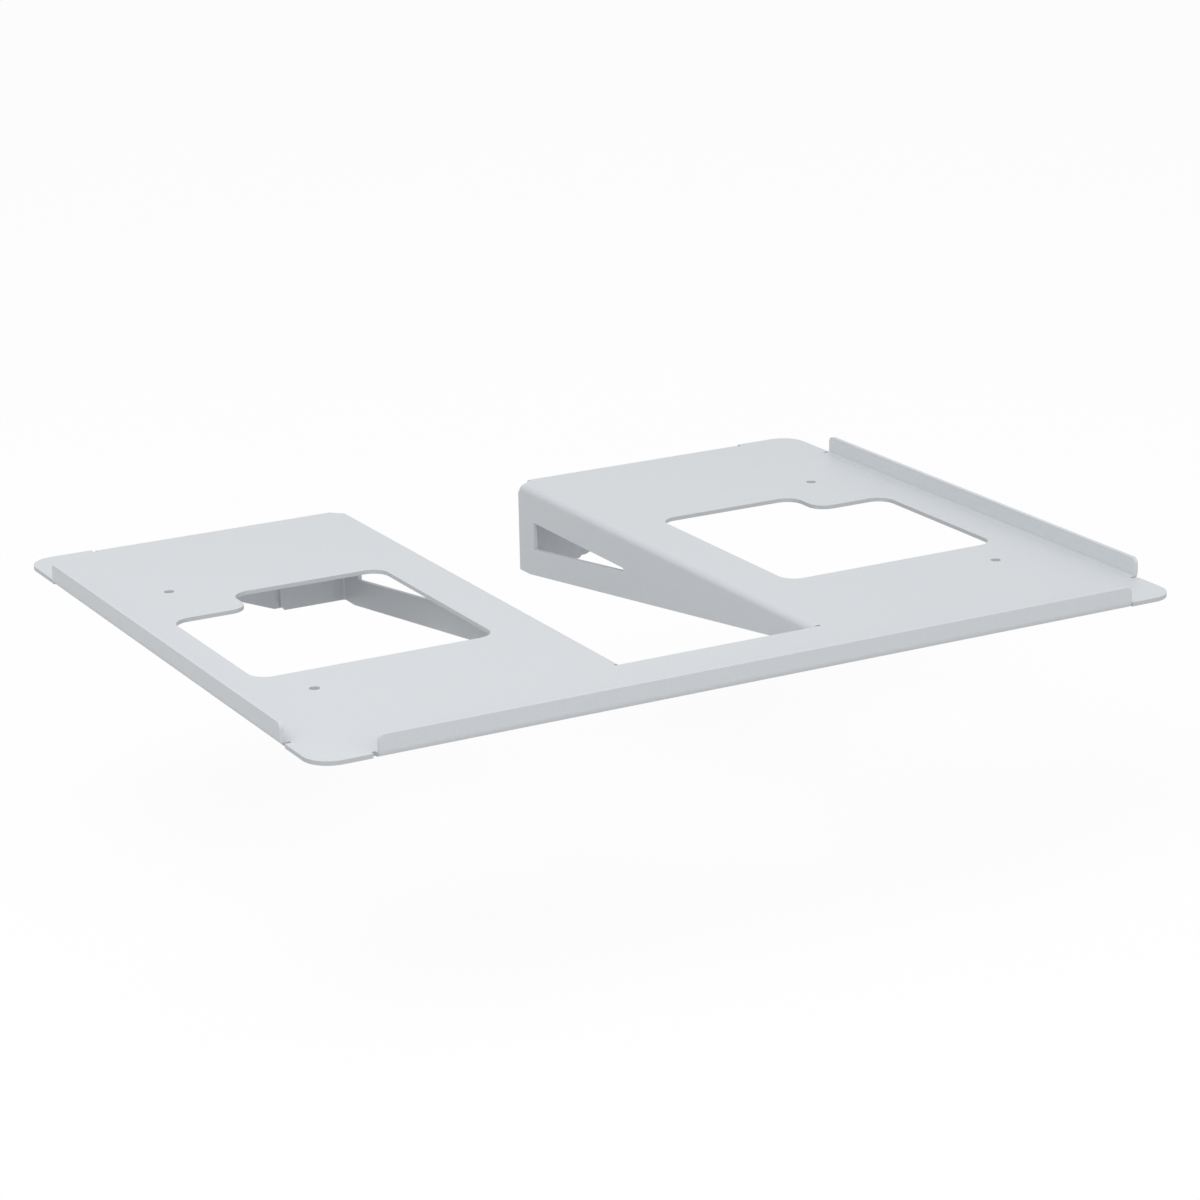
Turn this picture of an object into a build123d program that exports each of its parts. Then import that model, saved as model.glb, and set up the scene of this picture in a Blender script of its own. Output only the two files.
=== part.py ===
from build123d import *
import math
import os

os.makedirs("parts", exist_ok=True)

# Folded sheet-steel wall bracket, one piece, in millimetres.
# X runs along the wall, +Y points into the wall, +Z is up. The wall face lies at Y = 0 and the
# bracket reaches forward to Y = -depth. Z = 0 is the height of the wall screws.

# Sheet and bends
sheet = 2.0
bend_inside = 1.5
bend_outside = bend_inside + sheet

# Whole bracket
width = 450.0
depth = 350.0
strip_depth = 50.0
gap_width = 101.0
plate_above_screws = 15.0

# Turned-up lips, measured from the top of the plate and from the outer faces of the bracket
side_lip_rise = 9.0
side_lip_front_gap = 35.0
side_lip_rear_gap = 42.0
front_lip_rise = 8.5
front_lip_side_gap = 30.0
lip_corner_radius = 3.0

# Plate corners and the notches that end each bend
corner_side_inset = 1.3
corner_front_inset = 2.0
corner_rear_inset = 1.0
corner_radius = 13.0
notch_width = 2.0
notch_past_bend = 1.0
gap_slot_width = 1.6
gap_slot_past_bend = 0.4
rear_corner_cut = 4.4

# Wall flanges, measured down from the top of the plate
flange_drop = 47.2
flange_side_gap = 37.7
flange_level_length = 41.5
flange_end_drop = 11.0
flange_rise_radius = 22.0

# Gussets beside the centre gap, measured down from the top of the plate
gusset_drop = 48.0
gusset_flat_length = 16.0
gusset_front_drop = 9.8
gusset_bottom_radius = 12.0
gusset_rear_corner_cut = 2.1

# Return flanges, lapped against the inner face of the wall flanges
return_length = 38.5
return_clearance = 0.3
return_corner_cut = 2.0
return_top_gap = 5.2

# Window in each gusset
window_drop = 18.1
window_rim_below = 14.3
window_rear_gap = 21.8
window_front_height = 1.65
window_corner_radius = 3.0

# Stepped opening in each wing: the rims left beside the gap and the side, and its distances
# from the front face and from the wall
opening_gap_rim = 28.4
opening_side_rim = 25.1
opening_front_gap = 118.0
opening_rear_gap = 106.7
opening_step_side = 65.7
opening_step_rear_gap = 131.3
opening_corner_radius = 9.0

# Tray holes in the top plate, measured from the outer faces and from the wall
tray_hole_diameter = 5.0
tray_hole_side_gap = 42.3
tray_hole_front_gap = 93.0
tray_hole_rear_gap = 87.7

# Wall screw holes, out of sight in the photograph: one through both sheets beside each gusset
# and one near the outer end of each wall flange
wall_hole_diameter = 7.0
inner_hole_from_gusset = 19.5
outer_hole_from_end = 37.3

# Positions that follow from the sizes above
half_width = width / 2
half_gap = gap_width / 2
plate_top = plate_above_screws
plate_under = plate_top - sheet
front_face = -depth
strip_rear = front_face + strip_depth
gusset_bend_x = half_gap + bend_outside
side_bend_x = half_width - bend_outside
front_bend_y = front_face + bend_outside
rear_bend_y = -bend_outside
return_rear_y = -sheet - return_clearance
return_bend_y = return_rear_y - bend_outside
flange_bottom = plate_top - flange_drop
gusset_bottom = plate_top - gusset_drop
gusset_front_y = strip_rear + gap_slot_width
side_lip_front = front_face + side_lip_front_gap
side_lip_rear = -side_lip_rear_gap
front_lip_end = half_width - front_lip_side_gap
flange_end = half_width - flange_side_gap
flange_start = gusset_bend_x + rear_corner_cut
flange_level_end = half_gap + flange_level_length
return_end = half_gap + return_length
inner_hole_x = half_gap + inner_hole_from_gusset
outer_hole_x = flange_end - outer_hole_from_end


def gusset_slope():
    """Rise of the gusset's bottom edge for each millimetre towards the front."""
    run = -gusset_flat_length - gusset_front_y
    return (gusset_drop - gusset_front_drop) / run


def gusset_edge(y):
    """Height of the slanted bottom edge of the gusset at y."""
    return gusset_bottom + gusset_slope() * (-gusset_flat_length - y)


def sheet_bend(length, leg):
    """Bent strip in its own frame: the bend starts at X = 0 and ends with the leg going up, outer
    face at X = bend_outside, underside at Z = 0, running along +Y for the given length."""
    centre = (0.0, bend_outside)
    r_in = bend_inside
    r_out = bend_outside
    k = math.sqrt(0.5)
    with BuildSketch(Plane.XZ) as profile:
        with BuildLine():
            Line((0, 0), (0, sheet))
            ThreePointArc(
                (0, sheet),
                (r_in * k, centre[1] - r_in * k),
                (r_in, centre[1]),
            )
            Line((r_in, centre[1]), (r_in, leg))
            Line((r_in, leg), (r_out, leg))
            Line((r_out, leg), (r_out, centre[1]))
            ThreePointArc(
                (r_out, centre[1]),
                (r_out * k, centre[1] - r_out * k),
                (0, 0),
            )
        make_face()
    return extrude(profile.sketch, amount=-length)


def plate_half():
    """Flat part of the right half of the top plate, from the middle line to its bend lines."""
    tab_x = half_width - corner_side_inset
    tab_front = front_face + corner_front_inset
    tab_rear = -corner_rear_inset
    notch_x = side_bend_x - notch_past_bend
    notch_front = front_bend_y + notch_past_bend
    notch_rear = rear_bend_y - notch_past_bend
    slot_x = gusset_bend_x + gap_slot_past_bend
    outline = [
        (0, front_bend_y),
        (front_lip_end, front_bend_y),
        (front_lip_end, notch_front),
        (front_lip_end + notch_width, notch_front),
        (front_lip_end + notch_width, tab_front),
        (tab_x, tab_front),
        (tab_x, side_lip_front - notch_width),
        (notch_x, side_lip_front - notch_width),
        (notch_x, side_lip_front),
        (side_bend_x, side_lip_front),
        (side_bend_x, side_lip_rear),
        (notch_x, side_lip_rear),
        (notch_x, side_lip_rear + notch_width),
        (tab_x, side_lip_rear + notch_width),
        (tab_x, tab_rear),
        (flange_end + notch_width, tab_rear),
        (flange_end + notch_width, notch_rear),
        (flange_end, notch_rear),
        (flange_end, rear_bend_y),
        (flange_start, rear_bend_y),
        (gusset_bend_x, rear_bend_y - rear_corner_cut),
        (gusset_bend_x, gusset_front_y),
        (slot_x, gusset_front_y),
        (slot_x, strip_rear),
        (0, strip_rear),
    ]
    with BuildSketch(Plane.XY.offset(plate_under)) as flat:
        with BuildLine():
            Polyline(*outline, close=True)
        make_face()
        corners = flat.vertices().filter_by(
            lambda v: abs(v.X - tab_x) < 0.01
            and min(abs(v.Y - tab_front), abs(v.Y - tab_rear)) < 0.01
        )
        fillet(corners, corner_radius)
        add(opening_outline(), mode=Mode.SUBTRACT)
        with Locations(*tray_hole_places()):
            Circle(tray_hole_diameter / 2, mode=Mode.SUBTRACT)
    return extrude(flat.sketch, amount=sheet)


def opening_outline():
    """Stepped opening of the right wing in plan, all its corners rounded alike."""
    inner = half_gap + opening_gap_rim
    outer = half_width - opening_side_rim
    step = half_width - opening_step_side
    front = front_face + opening_front_gap
    rear = -opening_rear_gap
    step_rear = -opening_step_rear_gap
    corner_points = [
        (inner, front),
        (outer, front),
        (outer, step_rear),
        (step, step_rear),
        (step, rear),
        (inner, rear),
    ]
    with BuildSketch() as cut:
        with BuildLine():
            Polyline(*corner_points, close=True)
        make_face()
        fillet(cut.vertices(), opening_corner_radius)
    return cut.sketch


def tray_hole_places():
    """Centres of the two tray holes of the right half."""
    x = half_width - tray_hole_side_gap
    return [(x, front_face + tray_hole_front_gap), (x, -tray_hole_rear_gap)]


def side_lip():
    """Right lip, turned up, with its two upper corners rounded."""
    length = side_lip_rear - side_lip_front
    lip = sheet_bend(length, side_lip_rise + sheet)
    lip = fillet(upper_corner_edges(lip, Axis.X, side_lip_rise + sheet), lip_corner_radius)
    return Pos(side_bend_x, side_lip_front, plate_under) * lip


def front_lip():
    """Front lip, turned up, over the full width between its notches."""
    length = 2 * front_lip_end
    lip = sheet_bend(length, front_lip_rise + sheet)
    lip = fillet(upper_corner_edges(lip, Axis.X, front_lip_rise + sheet), lip_corner_radius)
    lip = Rot(0, 0, -90) * lip
    return Pos(-front_lip_end, front_bend_y, plate_under) * lip


def upper_corner_edges(lip, axis, top):
    """The two short edges across the sheet at the top ends of a lip."""
    return lip.edges().filter_by(axis).filter_by(
        lambda e: abs(e.center().Z - top) < 0.01 and e.length < sheet + 0.01
    )


def wall_flange():
    """Right wall flange, turned down at the wall, its bottom edge rising towards the side."""
    length = flange_end - flange_start
    bend = Rot(0, 0, 90) * Rot(180, 0, 0) * sheet_bend(length, flange_drop)
    bend = seat_low(bend, x=flange_start, y_high=0.0)
    with BuildSketch(Plane.XZ.offset(-5)) as keep:
        with BuildLine():
            Polyline(
                (flange_start, plate_top + 1),
                (flange_start, flange_bottom),
                (flange_level_end, flange_bottom),
                (flange_end, plate_top - flange_end_drop),
                (flange_end, plate_top + 1),
                close=True,
            )
        make_face()
        turn = keep.vertices().filter_by(
            lambda v: abs(v.X - flange_level_end) < 0.01 and v.Z < flange_bottom + 0.01
        )
        fillet(turn, flange_rise_radius)
    return bend & extrude(keep.sketch, amount=20)


def seat_low(bend, x, y_high):
    """Bring a turned-down bend to its place: plate level at the top, given X start and Y end."""
    box = bend.bounding_box()
    return Pos(x - box.min.X, y_high - box.max.Y, plate_top - box.max.Z) * bend


def gusset():
    """Right gusset, turned down beside the gap, with its window and slanted bottom edge."""
    length = return_bend_y - gusset_front_y
    bend = Rot(0, 180, 0) * sheet_bend(length, gusset_drop)
    box = bend.bounding_box()
    bend = Pos(half_gap - box.min.X, gusset_front_y - box.min.Y, plate_top - box.max.Z) * bend
    with BuildSketch(Plane.YZ) as keep:
        with BuildLine():
            Polyline(
                (gusset_front_y, plate_top + 1),
                (gusset_front_y, gusset_edge(gusset_front_y)),
                (-gusset_flat_length, gusset_bottom),
                (return_bend_y, gusset_bottom),
                (return_bend_y, plate_top - return_top_gap),
                (return_bend_y - gusset_rear_corner_cut, plate_top + 0.001),
                (return_bend_y - gusset_rear_corner_cut, plate_top + 1),
                close=True,
            )
        make_face()
        turn = keep.vertices().filter_by(lambda v: abs(v.Y + gusset_flat_length) < 0.01)
        fillet(turn, gusset_bottom_radius)
    return (bend & extrude(keep.sketch, amount=half_width)) - window_cutter()


def window_cutter():
    """Long tapered window: level top edge, bottom edge parallel to the gusset's own."""
    rear = -window_rear_gap
    top = plate_top - window_drop
    front_low = top - window_front_height - window_rim_below - gusset_bottom
    front = -gusset_flat_length - front_low / gusset_slope()
    with BuildSketch(Plane.YZ) as cut:
        with BuildLine():
            Polyline(
                (rear, top),
                (rear, gusset_edge(rear) + window_rim_below),
                (front, gusset_edge(front) + window_rim_below),
                (front, top),
                close=True,
            )
        make_face()
        rear_corners = cut.vertices().filter_by(lambda v: abs(v.Y - rear) < 0.01)
        fillet(rear_corners, window_corner_radius)
    return extrude(cut.sketch, amount=half_width)


def return_flange():
    """Right return flange: an upright bend at the gusset's rear edge and a leg along the wall."""
    bottom = gusset_bottom
    top = plate_top - return_top_gap
    k = math.sqrt(0.5)
    r_in = bend_inside
    r_out = bend_outside
    cx = gusset_bend_x
    cy = return_bend_y
    with BuildSketch(Plane.XY.offset(bottom)) as plan:
        with BuildLine():
            Line((cx - r_out, cy), (cx - r_in, cy))
            ThreePointArc((cx - r_in, cy), (cx - r_in * k, cy + r_in * k), (cx, cy + r_in))
            Line((cx, cy + r_in), (return_end, cy + r_in))
            Line((return_end, cy + r_in), (return_end, cy + r_out))
            Line((return_end, cy + r_out), (cx, cy + r_out))
            ThreePointArc((cx, cy + r_out), (cx - r_out * k, cy + r_out * k), (cx - r_out, cy))
        make_face()
    leg = extrude(plan.sketch, amount=top - bottom)
    outer_low = leg.edges().filter_by(Axis.Y).filter_by(
        lambda e: abs(e.center().X - return_end) < 0.01 and abs(e.center().Z - bottom) < 0.01
    )
    return chamfer(outer_low, return_corner_cut)


def wall_hole_cutters():
    """Cutters for the wall screws of both wings, level with Z = 0."""
    places = [(side * x, 0) for side in (-1, 1) for x in (inner_hole_x, outer_hole_x)]
    with BuildSketch(Plane.XZ) as holes:
        with Locations(*places):
            Circle(wall_hole_diameter / 2)
    return extrude(holes.sketch, amount=2 * bend_outside + sheet + 1, both=True)


def folded_bracket():
    """Both wings, the strip between them and every fold as one solid."""
    half = plate_half() + side_lip() + wall_flange() + gusset() + return_flange()
    body = half + mirror(half, Plane.YZ) + front_lip()
    return body - wall_hole_cutters()


bracket = folded_bracket()
bracket.label = "folded_bracket"
export_step(bracket, "parts/folded_bracket.step")
print("volume", round(bracket.volume), "solids", len(bracket.solids()), "valid", bracket.is_valid)
print("bounds", bracket.bounding_box())
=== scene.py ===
import math
import bpy
from mathutils import Matrix, Vector

mmPerMetre = 1000

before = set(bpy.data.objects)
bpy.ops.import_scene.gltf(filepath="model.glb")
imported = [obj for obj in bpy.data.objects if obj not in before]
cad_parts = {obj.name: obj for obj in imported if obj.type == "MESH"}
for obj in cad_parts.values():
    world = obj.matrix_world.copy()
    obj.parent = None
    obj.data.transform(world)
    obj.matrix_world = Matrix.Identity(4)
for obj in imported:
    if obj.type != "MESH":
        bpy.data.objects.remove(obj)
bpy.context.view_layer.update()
print("bracket loaded")


# An sRGB hex colour as linear red, green, blue and alpha
def toLinear(hexColour):
    shares = [int(hexColour[i:i + 2], 16) / 255 for i in (1, 3, 5)]
    linear = [s / 12.92 if s <= 0.04045 else ((s + 0.055) / 1.055) ** 2.4 for s in shares]
    return (*linear, 1.0)


# Adds a node: inputs and links go by the socket's name or number, settings are its own fields
def addNode(tree, kind, inputs=None, links=None, **settings):
    node = tree.nodes.new(kind)
    for field, value in settings.items():
        setattr(node, field, value)
    for socket, value in (inputs or {}).items():
        node.inputs[socket].default_value = value
    for socket, source in (links or {}).items():
        tree.links.new(source, node.inputs[socket])
    return node


# Powder coat, sprayed dry on sheet steel and baked: pale cool grey and semi-matt, with a faint
# orange peel where the melted powder levelled out, and a finer grain where it didn't
powderCoat = {
    "name": "powder_coat",
    "colour": "#D2D6DA",
    # painted shade: the darker coat colour put on the plate's cut walls and inside the lips' bends
    "paintedShadeColour": "#C2C6C9",
    "roughness": 0.44,
    "roughnessSpread": 0.06,
    "metallic": 0.0,
    "ior": 1.5,
    "bumpStrength": 1.0,
    "peelMm": 1.8,              # one swell, as wide as on the real coat
    "peelDepthMm": 0.07,        # really under 0.02, drawn deeper so that it shows close up
    "peelDetail": 1.0,
    "peelRoughness": 0.4,
    "grainMm": 0.55,            # really about 0.1, drawn coarser so that it shows close up
    "grainDepthMm": 0.02,
    "grainDetail": 2.0,
    "grainRoughness": 0.5,
    "plateUndersideMm": 13.0,
    "plateTopMm": 15.0,
    "plateSlackMm": 0.05,       # added above and below the plate
    "uprightTilt": 0.3,         # the most that an upright wall's normal rises
    "bendInsideMm": 1.5,
    "bendSlackMm": 0.01,        # taken off above and below the bend
}


def makePowderCoat(spec):
    material = bpy.data.materials.new(spec["name"])
    material.use_nodes = True
    tree = material.node_tree
    tree.nodes.clear()
    place = addNode(tree, "ShaderNodeTexCoord")

    # Orange peel and grain, the grain on top of the peel
    peel = addNode(
        tree, "ShaderNodeTexNoise",
        inputs={
            "Scale": mmPerMetre / spec["peelMm"],
            "Detail": spec["peelDetail"],
            "Roughness": spec["peelRoughness"],
        },
        links={"Vector": place.outputs["Object"]},
    )
    grain = addNode(
        tree, "ShaderNodeTexNoise",
        inputs={
            "Scale": mmPerMetre / spec["grainMm"],
            "Detail": spec["grainDetail"],
            "Roughness": spec["grainRoughness"],
        },
        links={"Vector": place.outputs["Object"]},
    )
    peelBump = addNode(
        tree, "ShaderNodeBump",
        inputs={
            "Strength": spec["bumpStrength"],
            "Distance": spec["peelDepthMm"] / mmPerMetre,
        },
        links={"Height": peel.outputs["Fac"]},
    )
    grainBump = addNode(
        tree, "ShaderNodeBump",
        inputs={
            "Strength": spec["bumpStrength"],
            "Distance": spec["grainDepthMm"] / mmPerMetre,
        },
        links={"Height": grain.outputs["Fac"], "Normal": peelBump.outputs["Normal"]},
    )
    sheen = addNode(
        tree, "ShaderNodeMapRange",
        inputs={
            "To Min": spec["roughness"] - spec["roughnessSpread"],
            "To Max": spec["roughness"] + spec["roughnessSpread"],
        },
        links={"Value": peel.outputs["Fac"]},
    )

    # Painted shade, a darker coat colour where shade falls, in two places: on the walls cut
    # through the plate
    spot = addNode(tree, "ShaderNodeSeparateXYZ", links={"Vector": place.outputs["Object"]})
    facing = addNode(tree, "ShaderNodeSeparateXYZ", links={"Vector": place.outputs["Normal"]})
    plateMiddleMm = (spec["plateTopMm"] + spec["plateUndersideMm"]) / 2
    plateReachMm = (spec["plateTopMm"] - spec["plateUndersideMm"]) / 2 + spec["plateSlackMm"]
    inPlate = addNode(
        tree, "ShaderNodeMath", operation="COMPARE",
        inputs={1: plateMiddleMm / mmPerMetre, 2: plateReachMm / mmPerMetre},
        links={0: spot.outputs["Z"]},
    )
    upright = addNode(
        tree, "ShaderNodeMath", operation="COMPARE",
        inputs={1: 0.0, 2: spec["uprightTilt"]},
        links={0: facing.outputs["Z"]},
    )
    cutWall = addNode(
        tree, "ShaderNodeMath", operation="MULTIPLY",
        links={0: inPlate.outputs["Value"], 1: upright.outputs["Value"]},
    )

    # And inside the lips' bends, painted crease shade, most where the bend is half way round
    bendMiddleMm = spec["plateTopMm"] + spec["bendInsideMm"] / 2
    bendReachMm = spec["bendInsideMm"] / 2 - spec["bendSlackMm"]
    inBend = addNode(
        tree, "ShaderNodeMath", operation="COMPARE",
        inputs={1: bendMiddleMm / mmPerMetre, 2: bendReachMm / mmPerMetre},
        links={0: spot.outputs["Z"]},
    )
    lean = addNode(
        tree, "ShaderNodeMath", operation="SUBTRACT",
        inputs={0: 1.0}, links={1: facing.outputs["Z"]},
    )
    curve = addNode(
        tree, "ShaderNodeMath", operation="MULTIPLY",
        links={0: facing.outputs["Z"], 1: lean.outputs["Value"]},
    )
    curvePeak = 0.25            # rise times lean, where both are a half
    curveShare = addNode(
        tree, "ShaderNodeMath", operation="MULTIPLY", use_clamp=True,
        inputs={1: 1 / curvePeak}, links={0: curve.outputs["Value"]},
    )
    innerBend = addNode(
        tree, "ShaderNodeMath", operation="MULTIPLY",
        links={0: inBend.outputs["Value"], 1: curveShare.outputs["Value"]},
    )
    # Where the painted shade goes: the cut walls and the inner bends
    paintedShadeMask = addNode(
        tree, "ShaderNodeMath", operation="MAXIMUM",
        links={0: cutWall.outputs["Value"], 1: innerBend.outputs["Value"]},
    )
    # Coat colour, turned to the painted shade colour where that mask is 1
    tone = addNode(tree, "ShaderNodeValToRGB", links={"Fac": paintedShadeMask.outputs["Value"]})
    tone.color_ramp.elements[0].color = toLinear(spec["colour"])
    tone.color_ramp.elements[1].color = toLinear(spec["paintedShadeColour"])

    coat = addNode(
        tree, "ShaderNodeBsdfPrincipled",
        inputs={"Metallic": spec["metallic"], "IOR": spec["ior"]},
        links={
            "Base Color": tone.outputs["Color"],
            "Roughness": sheen.outputs["Result"],
            "Normal": grainBump.outputs["Normal"],
        },
    )
    addNode(tree, "ShaderNodeOutputMaterial", links={"Surface": coat.outputs["BSDF"]})
    return material


coatMaterial = makePowderCoat(powderCoat)
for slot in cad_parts["folded_bracket"].material_slots:
    slot.material = coatMaterial
print("powder coat on the bracket")


# The photograph's viewing angle, found from the bracket's straight edges and its four holes
photoCamera = {
    "name": "photoCamera",
    "azimuth": -28.54,          # degrees, as the two below
    "elevation": 17.45,
    "roll": -1.12,
    "distance": 1.66511,        # metres, from the point that the camera looks at
    "target": (-0.01299, -0.2107, 0.015),
    "focalPixels": 3503.6,
    "imagePixels": 1200,
    "sensorMm": 36.0,
    "nearest": 0.01,            # metres that the camera sees from and to
    "farthest": 50.0,
}


def placeCamera(spec):
    azimuth, elevation, roll = (
        math.radians(spec[turn]) for turn in ("azimuth", "elevation", "roll")
    )
    back = Vector((
        math.sin(azimuth) * math.cos(elevation),
        -math.cos(azimuth) * math.cos(elevation),
        math.sin(elevation),
    ))
    right = Vector((math.cos(azimuth), math.sin(azimuth), 0.0))
    up = back.cross(right)
    rolledRight = right * math.cos(roll) + up * math.sin(roll)
    rolledUp = up * math.cos(roll) - right * math.sin(roll)
    lens = bpy.data.cameras.new(spec["name"])
    lens.sensor_fit = "HORIZONTAL"
    lens.sensor_width = spec["sensorMm"]
    lens.lens = spec["sensorMm"] * spec["focalPixels"] / spec["imagePixels"]
    lens.clip_start = spec["nearest"]
    lens.clip_end = spec["farthest"]
    lens.dof.use_dof = False
    camera = bpy.data.objects.new(spec["name"], lens)
    bpy.context.scene.collection.objects.link(camera)
    place = Vector(spec["target"]) + back * spec["distance"]
    axes = Matrix((rolledRight, rolledUp, back)).transposed().to_4x4()
    camera.matrix_world = Matrix.Translation(place) @ axes
    bpy.context.scene.camera = camera


placeCamera(photoCamera)
print("camera placed")


# 1 for what the camera sees, straight on, in a gloss or through glass, and 0 for the light that
# falls on the bracket
def makeSeenMask(tree):
    path = addNode(tree, "ShaderNodeLightPath")
    indirect = addNode(
        tree, "ShaderNodeMath", operation="MAXIMUM",
        links={0: path.outputs["Is Glossy Ray"], 1: path.outputs["Is Transmission Ray"]},
    )
    seen = addNode(
        tree, "ShaderNodeMath", operation="MAXIMUM",
        links={0: path.outputs["Is Camera Ray"], 1: indirect.outputs["Value"]},
    )
    return seen.outputs["Value"]


# White paper floor below the hanging bracket: it shows white with a faint shadow
studioFloor = {
    "name": "studioFloor",
    "materialName": "studio_paper",
    "size": 40.0,
    "height": -0.11,
    "paperColour": "#FFFFFF",
    "paperStrength": 1.0,
    "whiteShare": 0.93,         # the rest takes the shadow
    "bounceColour": "#CCCCCC",  # what the floor sends back up to the bracket
}


def makeFloor(spec):
    half = spec["size"] / 2
    height = spec["height"]
    corners = [
        (-half, -half, height), (half, -half, height), (half, half, height), (-half, half, height),
    ]
    mesh = bpy.data.meshes.new(spec["name"])
    mesh.from_pydata(corners, [], [(0, 1, 2, 3)])
    floor = bpy.data.objects.new(spec["name"], mesh)
    bpy.context.scene.collection.objects.link(floor)

    material = bpy.data.materials.new(spec["materialName"])
    material.use_nodes = True
    tree = material.node_tree
    tree.nodes.clear()
    paperColour = toLinear(spec["paperColour"])
    paper = addNode(tree, "ShaderNodeBsdfDiffuse", inputs={"Color": paperColour})
    white = addNode(
        tree, "ShaderNodeEmission",
        inputs={"Color": paperColour, "Strength": spec["paperStrength"]},
    )
    shown = addNode(
        tree, "ShaderNodeMixShader",
        inputs={"Fac": spec["whiteShare"]},
        links={1: paper.outputs["BSDF"], 2: white.outputs["Emission"]},
    )
    bounceColour = toLinear(spec["bounceColour"])
    bounce = addNode(tree, "ShaderNodeBsdfDiffuse", inputs={"Color": bounceColour})
    whole = addNode(
        tree, "ShaderNodeMixShader",
        links={"Fac": makeSeenMask(tree), 1: bounce.outputs["BSDF"], 2: shown.outputs["Shader"]},
    )

    # Looked at from underneath the paper is clear, so the bracket's underside can be seen
    side = addNode(tree, "ShaderNodeNewGeometry")
    path = addNode(tree, "ShaderNodeLightPath")
    fromBelow = addNode(
        tree, "ShaderNodeMath", operation="MULTIPLY",
        links={0: path.outputs["Is Camera Ray"], 1: side.outputs["Backfacing"]},
    )
    clear = addNode(tree, "ShaderNodeBsdfTransparent")
    oneWay = addNode(
        tree, "ShaderNodeMixShader",
        links={
            "Fac": fromBelow.outputs["Value"],
            1: whole.outputs["Shader"],
            2: clear.outputs["BSDF"],
        },
    )
    addNode(tree, "ShaderNodeOutputMaterial", links={"Surface": oneWay.outputs["Shader"]})
    mesh.materials.append(material)


# Soft light from all round, a soft box over the left, a weak one over the right and one in front
studioLight = {
    "name": "studioSky",
    "skyColour": "#FFFFFF",
    "skyStrength": 0.62,
    "backdropStrength": 1.0,    # white, for what the camera sees
    "aim": (0.0, -0.17, 0.0),
    "lamps": [
        {"name": "topLeftLamp", "place": (-0.8, -0.45, 1.35), "size": 1.2, "watts": 8.9},
        {"name": "topRightLamp", "place": (0.8, 0.1, 1.4), "size": 1.2, "watts": 1.4},
        {"name": "frontLamp", "place": (0.1, -2.3, 0.75), "size": 1.4, "watts": 10.0},
    ],
}


def makeSky(spec):
    world = bpy.data.worlds.new(spec["name"])
    world.use_nodes = True
    tree = world.node_tree
    tree.nodes.clear()
    skyColour = toLinear(spec["skyColour"])
    light = addNode(
        tree, "ShaderNodeBackground",
        inputs={"Color": skyColour, "Strength": spec["skyStrength"]},
    )
    backdrop = addNode(
        tree, "ShaderNodeBackground",
        inputs={"Color": skyColour, "Strength": spec["backdropStrength"]},
    )
    whole = addNode(
        tree, "ShaderNodeMixShader",
        links={
            "Fac": makeSeenMask(tree),
            1: light.outputs["Background"],
            2: backdrop.outputs["Background"],
        },
    )
    addNode(tree, "ShaderNodeOutputWorld", links={"Surface": whole.outputs["Shader"]})
    bpy.context.scene.world = world


def makeLamps(spec):
    for lamp in spec["lamps"]:
        box = bpy.data.lights.new(lamp["name"], "AREA")
        box.shape = "SQUARE"
        box.size = lamp["size"]
        box.energy = lamp["watts"]
        light = bpy.data.objects.new(lamp["name"], box)
        bpy.context.scene.collection.objects.link(light)
        light.location = lamp["place"]
        away = Vector(lamp["place"]) - Vector(spec["aim"])
        light.rotation_euler = away.to_track_quat("Z", "Y").to_euler()


makeFloor(studioFloor)
makeSky(studioLight)
makeLamps(studioLight)
bpy.context.scene.view_settings.view_transform = "Standard"
print("floor and lights set")
